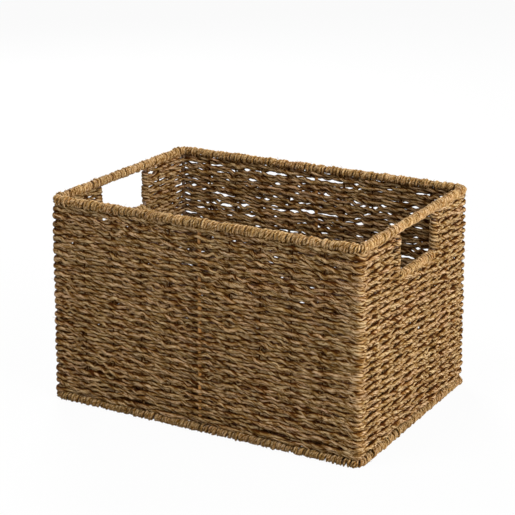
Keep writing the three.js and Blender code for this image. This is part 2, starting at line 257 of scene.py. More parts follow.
def ring_sizes(z, bend):
    """Half the span of the four walls at a height, how far out they stand, the bend between two of
    them along its middle, and where each wall begins."""
    spread = flare_at(z)
    spans = [HALF_LENGTH + spread, HALF_WIDTH + spread] * 2
    depths = [HALF_WIDTH + spread, HALF_LENGTH + spread] * 2
    arc = bend * HALF_TURN / 2
    starts = [0 * z]
    for span in spans:
        starts.append(starts[-1] + arc + 2 * (span - bend))
    return spans, depths, arc, starts


def ring_length(z, bend):
    return ring_sizes(z, bend)[3][4]


def on_ring(s, z, bend):
    """Points of the walls' middle and their outward directions, for lengths s at heights z."""
    z = np.broadcast_to(z, s.shape).astype(float)
    spans, depths, arc, starts = ring_sizes(z, bend)
    s = np.mod(s, starts[4])
    points = np.zeros((len(s), 3))
    outward = np.zeros((len(s), 3))
    for wall in range(4):
        here = (s >= starts[wall]) & (s <= starts[wall + 1])
        place = s[here] - starts[wall][here]
        straight = 2 * (spans[wall][here] - bend)
        before = np.clip(arc / 2 - place, 0, None) / bend
        after = np.clip(place - arc / 2 - straight, 0, None) / bend
        along = np.clip(place - arc / 2, 0, straight) - straight / 2
        turn = after - before
        x = along + bend * np.sin(turn)
        y = bend - depths[wall][here] - bend * np.cos(turn)
        cosine = (1, 0, -1, 0)[wall]
        sine = (0, 1, 0, -1)[wall]
        points[here, 0] = x * cosine - y * sine
        points[here, 1] = x * sine + y * cosine
        outward[here, 0] = np.sin(turn) * cosine + np.cos(turn) * sine
        outward[here, 1] = np.sin(turn) * sine - np.cos(turn) * cosine
    points[:, 2] = z
    return points, outward


def upright_knots(z, bend):
    """Lengths along the ring at which the uprights stand, from the front left corner and back to it."""
    z = np.asarray(z, float)
    spans, _depths, arc, starts = ring_sizes(z, bend)
    knots = []
    for wall in range(4):
        places = LONG_PLACES if wall % 2 == 0 else END_PLACES
        knots.append(starts[wall])
        knots += [starts[wall] + arc / 2 + spans[wall] - bend + place for place in places]
    knots.append(starts[4])
    return np.array(knots)


def on_end_walls(places, corners):
    """Which places lie between the two corners of an end wall."""
    return (places > corners[1]) & (places < corners[2]) | (places > corners[3])


# Random changes along a cord
def ease(share):
    """A share that rises slowly from 0 and settles slowly at 1."""
    return share * share * (3 - 2 * share)


def smooth(rng, s, spacing, spread, closed=False):
    """Random values with a knot every spacing along s, joined smoothly."""
    x = (s - s.min()) / spacing
    count = max(int(round(x.max())), 2)
    if closed:
        x = x * count / x.max()
    knots = rng.normal(0, spread, count + 3)
    if closed:
        knots[count:] = knots[: len(knots) - count]
    i = np.clip(np.floor(x).astype(int), 0, len(knots) - 2)
    share = ease(x - i)
    return knots[i] * (1 - share) + knots[i + 1] * share


# Cord meshes
PLY_CURVE = 0.8
FIBRE_LEAN = 0.45

# How often a cord changes along its length, in lays, and by how much
TWIST_SPACING, TWIST_SPREAD = 1.2, 0.8
RIDGE_SPACING = 0.35
SWELL_SPACING = 0.8
SLOW_SWELL_SPACING, SLOW_SWELL_SHARE = 3, 0.7

# How the leaf changes along a cord
LEAF_LENGTH = 90 * MM
HUE_SPREAD = 0.14
LIGHTNESS_SPREAD = 0.09

# How deep the painted shade is in the groove between the plies, between the ridges of the leaf edges,
# and in the crevice towards the cords beside
GROOVE_SHADE = 0.42
RIDGE_SHADE = 4
CREVICE_START = 0.66
CREVICE_WIDTH = 0.3


def unit(vectors):
    return vectors / np.linalg.norm(vectors, axis=1)[:, None]


def cord_profile(reach, groove, sides):
    """The outline of two plies side by side, as distances from the cord's middle."""
    angles = FULL_TURN * np.arange(sides) / sides + HALF_TURN / 2
    reaches = groove + (reach - groove) * np.abs(np.cos(angles)) ** PLY_CURVE
    return np.stack([reaches * np.cos(angles), reaches * np.sin(angles)], axis=1)


class CordMesh:
    """Gathers swept cords into one mesh, with their strand coordinates, dye and painted shade."""

    def __init__(self, name):
        self.name = name
        self.points = []
        self.faces = []
        self.coordinates = []
        self.dyes_and_shades = []
        self.count = 0

    def add(self, path, reference, profile, twist, scale, dye_and_shade, closed=False, lean=0.0, taller=None):
        """Sweeps a profile along a path. Its x axis starts towards the reference and turns by twist.

        The fibres go round the cord by lean turns for each metre less than the plies do. Where it is
        pressed taller, it is stretched along the reference.
        """
        ahead = np.roll(path, -1, axis=0) - np.roll(path, 1, axis=0)
        if not closed:
            ahead[0] = path[1] - path[0]
            ahead[-1] = path[-1] - path[-2]
        tangent = unit(ahead)
        across = unit(reference - (reference * tangent).sum(1)[:, None] * tangent)
        aside = np.cross(tangent, across)
        cosine, sine = np.cos(twist)[:, None], np.sin(twist)[:, None]
        x = (profile[:, 0] * cosine - profile[:, 1] * sine) * scale
        if taller is not None:
            x *= taller[:, None]
        y = (profile[:, 0] * sine + profile[:, 1] * cosine) * scale
        rings = path[:, None] + x[..., None] * across[:, None] + y[..., None] * aside[:, None]
        self.join(rings, path, dye_and_shade, closed, lean)

    def join(self, rings, path, dye_and_shade, closed, lean):
        """Joins rings of points with faces. u runs along the cord in metres, v once round it."""
        count, sides = rings.shape[:2]
        last = count if closed else count - 1
        ring, side = np.meshgrid(np.arange(last), np.arange(sides), indexing="ij")
        following, beside = (ring + 1) % count, (side + 1) % sides
        quads = [ring * sides + side, ring * sides + beside,
                 following * sides + beside, following * sides + side]
        quads = np.stack(quads, axis=2).reshape(-1, 4) + self.count
        steps = np.linalg.norm(np.diff(path, axis=0, append=path[:1]), axis=1)
        length = np.concatenate([[0], np.cumsum(steps)])
        u = np.stack([length[ring], length[ring], length[ring + 1], length[ring + 1]], axis=2)
        v = np.stack([side, side + 1, side + 1, side], axis=2) / sides + lean * u
        self.points.append(rings.reshape(-1, 3))
        self.faces += quads.tolist()
        self.coordinates.append(np.stack([u, v], axis=3).reshape(-1, 2))
        self.dyes_and_shades.append(dye_and_shade.reshape(-1, 3))
        self.count += count * sides
        if not closed:
            self.cap(path[0], dye_and_shade[0], self.count - count * sides, sides, 1)
            self.cap(path[-1], dye_and_shade[-1], self.count - sides - 1, sides, -1)

    def cap(self, pole, dye_and_shade, start, sides, facing):
        """Closes an end with a pole."""
        self.points.append(pole[None])
        self.dyes_and_shades.append(dye_and_shade.mean(0)[None])
        for side in range(sides):
            edge = [start + side, start + (side + 1) % sides]
            self.faces.append([self.count, *edge[::-facing]])
        self.coordinates.append(np.zeros((3 * sides, 2)))
        self.count += 1

    def build(self, material, replaced):
        """Makes the finished piece, with nothing below the floor."""
        points = np.concatenate(self.points)
        points[:, 2] = np.maximum(points[:, 2], 0.1 * MM)
        mesh = bpy.data.meshes.new(self.name)
        mesh.from_pydata(points.tolist(), [], self.faces)
        mesh.uv_layers.new(name="strand").data.foreach_set(
            "uv", np.concatenate(self.coordinates).astype(np.float32).ravel())
        dye_and_shade = mesh.attributes.new("dye_and_shade", "FLOAT_VECTOR", "POINT")
        dye_and_shade.data.foreach_set("vector", np.concatenate(self.dyes_and_shades).astype(np.float32).ravel())
        mesh.shade_smooth()
        piece = bpy.data.objects.new(self.name, mesh)
        bpy.context.scene.collection.objects.link(piece)
        mesh.materials.append(material)
        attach(piece, "root")
        if replaced:
            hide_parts(*replaced)


def leaf_dye_and_shade(rng, length, profile, ridges, crevice_shade, closed, paleness):
    """Hue, lightness and painted shade of each point of a two-ply cord, whose leaves change along it."""
    reach = np.hypot(profile[:, 0], profile[:, 1])
    first_ply = (profile[:, 0] > 0).astype(float)[None, :]
    dye_and_shade = np.zeros((len(length), len(profile), 3))
    groove = (reach.max() - reach) / (reach.max() - reach.min())
    # Painted shade: darker in the groove between the plies, between the ridges and in the crevice
    groove_and_ridge_shade = np.clip(GROOVE_SHADE * groove - RIDGE_SHADE * ridges, 0, 1)
    dye_and_shade[..., 2] = 1 - (1 - groove_and_ridge_shade) * (1 - crevice_shade)
    for channel, usual, spread in ((0, 0.5, HUE_SPREAD), (1, 1 + paleness, LIGHTNESS_SPREAD)):
        plies = [smooth(rng, length, LEAF_LENGTH, spread, closed)[:, None] for _ply in range(2)]
        dye_and_shade[..., channel] = usual + plies[0] * first_ply + plies[1] * (1 - first_ply)
    return dye_and_shade


def add_twisted_cord(mesh, rng, path, reference, reach, groove, lay, unevenness,
                     closed=False, sides=12, paleness=0.0, thickness=1.0, taller=None, wound=False):
    """A two-ply cord, laid to the right, along a path. Leaf edges make ridges along its plies.

    Its neighbours lie on the side of the reference, or across it where the cord is wound.
    """
    steps = np.linalg.norm(np.diff(path, axis=0, append=path[:1]), axis=1)
    length = np.concatenate([[0], np.cumsum(steps)[:-1]])
    total = steps.sum() if closed else length[-1]
    turns = round(total / lay) if closed else total / lay
    twist = FULL_TURN * turns * length / total
    twist += smooth(rng, length, TWIST_SPACING * lay, TWIST_SPREAD, closed)
    twist += rng.uniform(0, FULL_TURN)
    profile = cord_profile(reach, groove, sides)
    ridges = [smooth(rng, length, RIDGE_SPACING * lay, unevenness, closed) for _side in range(sides)]
    ridges = np.stack(ridges, axis=1)
    scale = 1 + smooth(rng, length, SWELL_SPACING * lay, unevenness, closed)
    scale += smooth(rng, length, SLOW_SWELL_SPACING * lay, SLOW_SWELL_SHARE * unevenness, closed)
    scale *= thickness
    turned = np.arctan2(profile[:, 1], profile[:, 0])[None, :] + twist[:, None]
    # Painted shade in the crevice towards the cords beside, on the reference's side or across it where
    # wound
    towards_neighbour = np.abs(np.sin(turned) if wound else np.cos(turned))
    crevice_shade = np.clip((towards_neighbour - CREVICE_START) / CREVICE_WIDTH, 0, 1)
    dye_and_shade = leaf_dye_and_shade(rng, length, profile, ridges, crevice_shade, closed, paleness)
    reference = np.broadcast_to(reference, path.shape)
    lean = FIBRE_LEAN / lay
    mesh.add(path, reference, profile, twist, scale[:, None] + ridges, dye_and_shade, closed, lean, taller)


def add_weft(mesh, rng, path, cord, **details):
    """A weft of the walls or the base. The cords beside it lie above and below, or to its sides."""
    add_twisted_cord(mesh, rng, path, UP, cord.weft_reach, cord.weft_groove, cord.weft_lay,
                     cord.unevenness, **details)


# The wefts of the walls
class WallWeave:
    """Where each course of the walls runs, over and under the uprights.

    Lengths here are along a course, heights are counted in courses, and reaches are shares of the
    swing.
    """

    top_lift = 0.3
    drift_spacing, drifts_round = 5, 24
    slack_spacing, slacks_round = 3, 44
    usual_slack, slack_spread, most_slack = -0.7, 1, 1.2
    calm_courses = 4
    group_size, group_spread = 3, (25 * MM, 3)
    half_lengths = (4 * MM, 7.5 * MM)
    pushes, end_wall_push = (0.3, 0.9), 0.45
    corner_gap_place, corner_gap_half, corner_gap_share = 6 * MM, 7 * MM, 0.75
    fading, felt_courses = 0.9, 3
    long_wall_reach, end_wall_reach, reach_spread = 0.46, 0.65, 0.15
    mid_hoop_reach = 1.6
    corner_reaches = {NEAR_CORNER: (0.32, -0.1), FAR_CORNER: (0.45, -1.35)}
    other_corner_reaches = (0.45, -0.5)
    crown_curve, firm_press = 1.6, 1.6
    waver_spacing, stray_spacing, stray = 8 * MM, 12 * MM, 0.3 * MM
    turn_reach, turns = 0.9, 1.5

    def __init__(self, cord):
        self.cord = cord
        self.rng = np.random.default_rng(cord.seed)
        self.lower = round((UNDER_SILL - WEAVE_BOTTOM) / cord.course_pitch)
        self.upper = round((WEAVE_TOP - UNDER_SILL) / cord.course_pitch)
        self.courses = self.lower + self.upper
        self.drifts = self.rng.normal(
            0, cord.drift, (self.courses // self.drift_spacing + 3, self.drifts_round))
        slacks = self.rng.normal(self.usual_slack, self.slack_spread,
                                 (self.courses // self.slack_spacing + 3, self.slacks_round))
        self.slacks = np.clip(slacks, 0, self.most_slack)
        self.openings = self.scatter_openings()

    def height(self, course):
        """The courses share out the height below the sills, and that from there to the rim."""
        if course < self.lower:
            return WEAVE_BOTTOM + (UNDER_SILL - WEAVE_BOTTOM) * (course + 0.5) / self.lower
        top = WEAVE_TOP + self.top_lift * self.cord.weft_reach
        return UNDER_SILL + (top - UNDER_SILL) * (course - self.lower + 0.5) / self.upper

    def over_walls(self, values, course, s, total):
        """A slow change over the walls, between values that are given round and up the basket."""
        row = course / self.courses * (len(values) - 2)
        below = int(row)
        share = row - below
        knots = values[below] * (1 - share) + values[below + 1] * share
        knots = np.append(knots, knots[0])
        x = np.mod(s / total, 1) * (len(knots) - 1)
        i = np.clip(x.astype(int), 0, len(knots) - 2)
        blend = ease(x - i)
        return knots[i] * (1 - blend) + knots[i + 1] * blend

    def drift(self, course, s, total):
        """Courses wander up and down together, and settle towards the foot and the rim."""
        calm = min(course, self.courses - 1 - course, self.calm_courses) / self.calm_courses
        return calm * self.over_walls(self.drifts, course, s, total)

    def slack(self, course, s, total):
        """How thick the wefts are, where some patches of the weave are looser."""
        return 1 - self.cord.slack * self.over_walls(self.slacks, course, s, total)

    def scatter_openings(self):
        """Where courses stand apart: the share round the ring, the row, the half length and the push.

        They come in loose groups, are narrower on the end walls, and stand beside the corners of the
        long walls.
        """
        cord, rng = self.cord, self.rng
        knots = upright_knots((WEAVE_BOTTOM + WEAVE_TOP) / 2, cord.weave_bend)
        total = knots[-1]
        groups = rng.uniform((0, 0), (total, self.courses), (cord.openings // self.group_size, 2))
        spots = np.repeat(groups, self.group_size, axis=0)
        spots += rng.normal(0, self.group_spread, spots.shape)
        halves = rng.uniform(*self.half_lengths, len(spots))
        pushes = cord.opening * rng.uniform(*self.pushes, len(spots))
        places = np.mod(spots[:, 0], total)
        pushes[on_end_walls(places, knots[list(CORNERS)])] *= self.end_wall_push
        beside = []
        for corner, side in ((CORNERS[0], 1), (CORNERS[4], -1), (CORNERS[2], 1), (CORNERS[3], -1)):
            rows = np.arange(3, self.courses - 2, 2)
            rows = rows[rng.uniform(size=len(rows)) < self.corner_gap_share]
            place = knots[corner] + side * self.corner_gap_place
            beside.append(np.column_stack([np.full(len(rows), place), rows]))
        beside = np.concatenate(beside)
        spots = np.concatenate([spots, beside])
        halves = np.append(halves, np.full(len(beside), self.corner_gap_half))
        pushes = np.append(pushes, np.full(len(beside), cord.opening))
        rows = np.floor(np.clip(spots[:, 1], 1, self.courses - 3)) + 0.5
        return np.stack([spots[:, 0] / total, rows, halves, pushes])

    def parting(self, course, s, total):
        """How far a course is pushed up or down by the openings next to it."""
        near = np.abs(course - self.openings[1]) < self.felt_courses
        shares, rows, halves, pushes = self.openings[:, near]
        away = course - rows
        pushes = pushes * np.sign(away) * np.exp(self.fading * (0.5 - np.abs(away)))
        distance = np.mod(s[:, None] - shares * total + total / 2, total) - total / 2
        window = np.cos(HALF_TURN / 2 * np.clip(np.abs(distance) / halves, 0, 1)) ** 2
        return np.clip((window * pushes).sum(axis=1), -self.cord.opening, self.cord.opening)

    def wander(self, course, s, total, closed=False):
        """How far a course is above or below its height."""
        strays = smooth(self.rng, s, self.stray_spacing, self.stray, closed)
        return self.drift(course, s, total) + strays + self.parting(course, s, total)

    def reaches(self, course, first, last):
        """How far out of the wall's middle the weft passes each upright: out, in, out and so on."""
        uprights = np.arange(first, last + 1)
        sides = np.where((uprights + course) % 2 == 0, 1, -1)
        uprights = np.mod(uprights, UPRIGHTS)
        reaches = self.cord.swing * (1 + self.rng.normal(0, self.reach_spread, len(uprights)))
        on_end_wall = on_end_walls(uprights, CORNERS)
        reaches *= sides * np.where(on_end_wall, self.end_wall_reach, self.long_wall_reach)
        reaches[np.isin(uprights, MID_UPRIGHTS)] *= self.mid_hoop_reach
        for corner in CORNERS[:-1]:
            here = uprights == corner
            outside, inside = self.corner_reaches.get(corner, self.other_corner_reaches)
            reaches[here] = np.where(sides[here] > 0, outside, inside) * self.cord.swing
        return reaches

    def swing(self, s, knots, reaches, first, closed=False):
        """How far out of the wall's middle the weft is, and how much taller it is pressed."""
        i = np.clip(np.searchsorted(knots, s, side="right") - 1, 0, len(knots) - 2)
        share = (s - knots[i]) / (knots[i + 1] - knots[i])
        wave = np.cos(HALF_TURN * share)
        crown = np.abs(wave) ** self.crown_curve
        centre, half = (reaches[i] + reaches[i + 1]) / 2, (reaches[i] - reaches[i + 1]) / 2
        offset = centre + half * np.sign(wave) * crown
        offset += smooth(self.rng, s, self.waver_spacing, self.stray, closed)
        nearest = np.mod(np.where(wave > 0, i, i + 1) + first, UPRIGHTS)
        firm = np.isin(nearest, CORNERS) | on_end_walls(nearest, CORNERS)
        pressed = np.where(firm, self.firm_press, 1)
        pressed[nearest == FAR_CORNER] = 0
        return offset, 1 + self.cord.spread * pressed * crown

    def ring(self, course):
        """A closed course below the hand holes."""
        cord = self.cord
        z = self.height(course)
        knots = upright_knots(z, cord.weave_bend)
        total = knots[-1]
        s = np.linspace(0, total, round(total / cord.step), endpoint=False)
        reaches = self.reaches(course, 0, UPRIGHTS)
        reaches[-1] = reaches[0]
        offset, taller = self.swing(s, knots, reaches, 0, closed=True)
        points, outward = on_ring(s, z, cord.weave_bend)
        points[:, 2] += self.wander(course, s, total, closed=True)
        return points + outward * offset[:, None], self.slack(course, s, total), taller

    def leg_place(self, z):
        """How far from the middle of an end wall the wire stands that a course turns back round."""
        centre = SILL_Z + HOOP_BEND
        if z >= centre:
            return LEG_PLACE
        below = centre - z
        if below > HOOP_BEND * math.sin(HALF_TURN / 4):
            wound = HOOP_BEND + SILL_WRAP_RADIUS
            return LEG_PLACE - HOOP_BEND + math.sqrt(wound ** 2 - below ** 2) + self.cord.weft_reach
        return LEG_PLACE - HOOP_BEND + math.sqrt(HOOP_BEND ** 2 - below ** 2)

    def turned_courses(self, first, last):
        """The courses between two legs as one weft, which turns back round a leg after each course."""
        cord = self.cord
        parts = []
        for course in range(self.lower, self.courses):
            z = self.height(course)
            knots = upright_knots(z, cord.weave_bend)
            total = knots[-1]
            knots = np.concatenate([knots, knots[1:] + total])
            inward = LEG_PLACE - self.leg_place(z)
            start = knots[first] + inward
            end = knots[last] - inward
            s = np.linspace(start, end, round((end - start) / cord.step))
            places = np.concatenate([[start], knots[first + 1:last], [end]])
            reaches = self.reaches(course, first, last)
            reaches[[0, -1]] = np.sign(reaches[[0, -1]]) * self.turn_reach * cord.swing
            offset, taller = self.swing(s, places, reaches, first)
            height = z + self.wander(course, s, total)
            run = np.stack([s, offset, height, self.slack(course, s, total), taller])
            forwards = (course - self.lower) % 2 == 0
            if not forwards:
                run = run[:, ::-1]
            parts.append(run)
            if course + 1 < self.courses:
                parts.append(self.turn_back(run[:3, -1], forwards))
        s, offset, z, thickness, taller = np.concatenate(parts, axis=1)
        points, outward = on_ring(s, z, cord.weave_bend)
        return points + outward * offset[:, None], thickness, taller

    def turn_back(self, end, forwards):
        """One and a half turns round a leg, up to the next course."""
        cord = self.cord
        s_end, offset_end, z_end = end
        radius = abs(offset_end)
        count = round(self.turns * FULL_TURN * radius / cord.step)
        angle = FULL_TURN * self.turns * np.arange(1, count) / count
        beyond = 1 if forwards else -1
        s = s_end + beyond * radius * np.sin(angle)
        offset = np.sign(offset_end) * radius * np.cos(angle)
        climb = np.clip((angle - HALF_TURN / 2) / FULL_TURN, 0, 1)
        plain = np.ones(count - 1)
        return np.stack([s, offset, z_end + cord.course_pitch * climb, plain, plain])


# Materials
class NodeTree:
    """The nodes of a material or of the world. A node's inputs take values or other nodes' outputs."""

    def __init__(self, owner):
        owner.use_nodes = True
        self.nodes = owner.node_tree.nodes
        self.links = owner.node_tree.links

    def feed(self, node, inputs):
        for name, value in inputs.items():
            if isinstance(value, bpy.types.NodeSocket):
                self.links.new(value, node.inputs[name])
            else:
                node.inputs[name].default_value = value

    def add(self, kind, inputs, **settings):
        node = self.nodes.new(kind)
        for name, value in settings.items():
            setattr(node, name, value)
        self.feed(node, inputs)
        return node

    def maths(self, operation, first, second):
        return self.add("ShaderNodeMath", {0: first, 1: second}, operation=operation).outputs[0]

    def noise(self, place, scale, detail, roughness=0.5):
        inputs = {"Vector": place, "Scale": scale, "Detail": detail, "Roughness": roughness}
        return self.add("ShaderNodeTexNoise", inputs).outputs[0]

    def ramp(self, factor, stops):
        """The colour at a factor, between the colours given for some positions."""
        ramp = self.add("ShaderNodeValToRGB", {0: factor})
        elements = ramp.color_ramp.elements
        elements[0].position = stops[0][0]
        elements[1].position = stops[-1][0]
        for position, _colour in stops[1:-1]:
            elements.new(position)
        for element, (_position, colour) in zip(elements, stops):
            element.color = (*colour, 1)
        return ramp.outputs[0]

    def toned(self, colour, tone):
        """A colour times another, or times a number."""
        mix = self.add("ShaderNodeMix", {}, data_type="RGBA", blend_type="MULTIPLY")
        self.feed(mix, {"Factor": 1, "A": colour, "B": tone})
        return mix.outputs["Result"]

    def bump(self, height, strength, distance):
        inputs = {"Height": height, "Strength": strength, "Distance": distance}
        return self.add("ShaderNodeBump", inputs).outputs[0]


def seagrass(name, finish, brightness=1.0, streaks=(150, 14), hue_shift=0.0, painted_shade_share=1.0):
    """Dried seagrass: long fibres along the lay, whose hue changes from leaf to leaf, with painted shade
    between the fibres, in the grooves and in the crevices.
    """
    material = bpy.data.materials.new(name)
    tree = NodeTree(material)
    maths = tree.maths
    dye_and_shade = tree.add("ShaderNodeAttribute", {}, attribute_name="dye_and_shade").outputs["Vector"]
    # The third part of the dye is the painted shade of the grooves, ridges and crevices
    leaf_hue, lightness, depth = tree.add("ShaderNodeSeparateXYZ", {0: dye_and_shade}).outputs
    strand = tree.add("ShaderNodeUVMap", {}, uv_map="strand").outputs[0]
    along = tree.add("ShaderNodeMapping", {"Vector": strand, "Scale": (*streaks, 1)}).outputs[0]
    fibres = tree.noise(along, 1, 4, 0.75)
    window = {"Value": fibres, "From Min": 0.41, "From Max": 0.53}
    streak = tree.add("ShaderNodeMapRange", window).outputs[0]
    blotches = tree.noise(tree.add("ShaderNodeTexCoord", {}).outputs["Object"], 22, 2)
    from_fibres = maths("MULTIPLY", maths("SUBTRACT", fibres, 0.5), 0.5)
    from_blotches = maths("MULTIPLY", maths("SUBTRACT", blotches, 0.5), 0.6)
    hue = maths("ADD", maths("ADD", leaf_hue, from_fibres), maths("ADD", from_blotches, hue_shift))
    leaf = tree.ramp(hue, (
        (0.15, finish.rose_colour), (0.4, finish.straw_colour), (0.6, finish.olive_colour),
        (0.72, finish.straw_colour), (0.95, finish.pale_colour),
    ))
    # Partly the leaf's own streaks and partly painted shade between the fibres, away from the streaks'
    # crests
    between = maths("MULTIPLY", maths("SUBTRACT", 1, streak), 0.9)
    painted_shade = maths("MAXIMUM", maths("MULTIPLY", depth, 1.08), between)
    # Painted shade: the deeper it is, the darker and browner the leaf
    painted_shade_tint = tree.ramp(maths("MULTIPLY", painted_shade, finish.painted_shade * painted_shade_share), (
        (0, (1, 1, 1)), (0.25, (0.8, 0.735, 0.635)), (0.5, (0.55, 0.45, 0.285)),
        (0.75, (0.3, 0.188, 0.055)), (1, (0.09, 0.034, 0.003)),
    ))
    lit = tree.toned(leaf, maths("MULTIPLY", lightness, brightness))
    tree.feed(tree.nodes["Principled BSDF"], {
        "Base Color": tree.toned(lit, painted_shade_tint),
        "Roughness": 0.72,
        "Specular IOR Level": 0.05,
        "Normal": tree.bump(streak, 0.5, 0.6 * MM),
    })
    return material


def coated_wire(name, colour):
    """Wire with a thin coat that is worn and spotted."""
    material = bpy.data.materials.new(name)
    tree = NodeTree(material)
    spots = tree.noise(tree.add("ShaderNodeTexCoord", {}).outputs["Object"], 260, 4)
    worn = (colour[0] * 0.45, colour[1] * 0.4, colour[2] * 0.4)
    tree.feed(tree.nodes["Principled BSDF"], {
        "Base Color": tree.ramp(spots, ((0.35, worn), (0.65, colour))),
        "Roughness": 0.5,
        "Normal": tree.bump(spots, 0.3, 0.1 * MM),
    })
    return material


def named_material(name, make, *details):
    """The material of that name, made when it is first asked for."""
    return bpy.data.materials.get(name) or make(name, *details)


def weft_material(context):
    return named_material("weft_seagrass", seagrass, context.scene.basket_finish)


def wound_material(context):
    """Brighter leaf than the wefts', partly the strand's own paler colour and partly painted light on the
    windings, with less painted shade and shorter streaks.
    """
    finish = context.scene.basket_finish
    return named_material("wound_seagrass", seagrass, finish, 1.3, (200, 8), 0.04, 0.65)


class BASKET_OT_lower_wefts(bpy.types.Operator):
    """Weave the courses that run all round the basket, below the hand holes"""

    bl_idname = "basket.lower_wefts"
    bl_label = "Lower wefts"

    bands = 5

    def execute(self, context):
        cord = context.scene.basket_cord
        weave = WallWeave(cord)
        rng = np.random.default_rng(cord.seed + 1)
        per_band = math.ceil(weave.lower / self.bands)
        for band in range(self.bands):
            mesh = CordMesh(f"lower_wefts_{band + 1}")
            for course in range(band * per_band, min((band + 1) * per_band, weave.lower)):
                path, thickness, taller = weave.ring(course)
                add_weft(mesh, rng, path, cord, closed=True, thickness=thickness, taller=taller)
            mesh.build(weft_material(context),
                       ["front_weave", "back_weave", "left_lower_weave", "right_lower_weave"])
        return {"FINISHED"}


class BASKET_OT_upper_wefts(bpy.types.Operator):
    """Weave the courses beside the hand holes, which turn back round the wire hoops"""

    bl_idname = "basket.upper_wefts"
    bl_label = "Upper wefts"

    def execute(self, context):
        cord = context.scene.basket_cord
        weave = WallWeave(cord)
        rng = np.random.default_rng(cord.seed + 2)
        front_cheeks = ["left_cheek_weave_2", "right_cheek_weave_1"]
        back_cheeks = ["left_cheek_weave_1", "right_cheek_weave_2"]
        for side, first, last, cheeks in (
                ("front", LEFT_LEGS[1], RIGHT_LEGS[0] + UPRIGHTS, front_cheeks),
                ("back", RIGHT_LEGS[1], LEFT_LEGS[0], back_cheeks)):
            mesh = CordMesh(f"upper_wefts_{side}")
            path, thickness, taller = weave.turned_courses(first, last)
            add_weft(mesh, rng, path, cord, thickness=thickness, taller=taller)
            mesh.build(weft_material(context),
                       [f"{side}_weave", *cheeks])
        return {"FINISHED"}


class BASKET_OT_base(bpy.types.Operator):
    """Weave the base from pairs of wefts that run along the basket"""

    bl_idname = "basket.base"
    bl_label = "Base"

    # In reaches of a weft: how far the base goes beyond the solid one towards the long walls, how far it
    # stops short of the end walls' middle, and how far its wefts rise over an upright
    towards_long_walls, short_of_end_walls, rise = 0.5, 0.7, 0.6
    corner_cut = 3 * MM
    stray_spacing, stray = 60 * MM, 0.15 * MM
    longer_steps = 1.6
    # Painted light: the base's wefts are lighter than the walls', to lift the shade inside the basket
    paleness = 0.3

    def execute(self, context):
        cord = context.scene.basket_cord
        rng = np.random.default_rng(cord.seed + 3)
        low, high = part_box("base_weave")
        beyond = self.towards_long_walls * cord.weft_reach
        low.y, high.y = low.y - beyond, high.y + beyond
        high.x = HALF_LENGTH + flare_at(BASE_Z) - self.short_of_end_walls * cord.weft_reach
        low.x = -high.x
        courses = round((high.y - low.y) / cord.base_pitch)
        pitch = (high.y - low.y) / courses
        knots = np.array([low.x, *LONG_PLACES, high.x])
        rings = round((high.x - low.x) / (self.longer_steps * cord.step))
        mesh = CordMesh("base_wefts")
        for course in range(courses):
            for half in (-1, 1):
                y = low.y + pitch * (course + 0.5) + half * pitch / 4
                cut = max(0, self.corner_cut - min(y - low.y, high.y - y))
                x = np.linspace(low.x + cut, high.x - cut, rings)
                side = 1 - 2 * ((np.arange(len(knots)) + course) % 2)
                reaches = side * (cord.upright_reach + self.rise * cord.weft_reach)
                i = np.clip(np.searchsorted(knots, x) - 1, 0, len(knots) - 2)
                wave = np.cos(HALF_TURN * (x - knots[i]) / (knots[i + 1] - knots[i]))
                z = BASE_Z + (reaches[i] - reaches[i + 1]) / 2 * wave
                stray = smooth(rng, x, self.stray_spacing, self.stray)
                path = np.stack([x, y + stray, z], axis=1)
                add_weft(mesh, rng, path, cord, sides=8, paleness=self.paleness,
                         thickness=cord.base_thickness)
        mesh.build(weft_material(context), ["base_weave"])
        return {"FINISHED"}


def there_and_back(leg, depth, bottom, bend, bend_points, bottom_points):
    """Down a leg, round a bend and along the bottom to the middle, and the same way up the other side.

    The leg is given as points y and z, down to where the bend begins. The bend leads in from -depth.
    """
    angles = np.linspace(0, HALF_TURN / 2, bend_points)[1:-1]
    arc = np.column_stack([bend * (1 - np.cos(angles)) - depth, bottom + bend * (1 - np.sin(angles))])
    along = np.linspace(bend - depth, 0, bottom_points)
    half = np.concatenate([leg, arc, np.column_stack([along, np.full(bottom_points, bottom)])])
    return np.concatenate([half, half[-2::-1] * (-1, 1)])


def through_path(x, cord):
    """Down the front wall, under the base and up the back, with rounded corners."""
    bend = cord.corner_bend
    z = np.linspace(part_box("mid_hoop")[1].z, BASE_Z + bend, 130)
    wall = np.column_stack([-HALF_WIDTH - flare_at(z), z])
    route = there_and_back(wall, HALF_WIDTH + flare_at(BASE_Z), BASE_Z, bend, 9, 70)
    return np.column_stack([np.full(len(route), x), route])


def hoop_path(sign):
    """Down one side of a hand hole, along the sill and up the other side."""
    z = np.linspace(HOOP_TOP, SILL_Z + HOOP_BEND, 12)
    leg = np.column_stack([np.full(len(z), -LEG_PLACE), z])
    y, z = there_and_back(leg, LEG_PLACE, SILL_Z, HOOP_BEND, 10, 2).T
    return np.column_stack([sign * (HALF_LENGTH + flare_at(z)), y, z])


def end_cord_path(sign, y, top):
    """Up an end wall."""
    z = np.linspace(UPRIGHT_BOTTOM, top, 120)
    return np.column_stack([sign * (HALF_LENGTH + flare_at(z)), np.full(len(z), y), z])


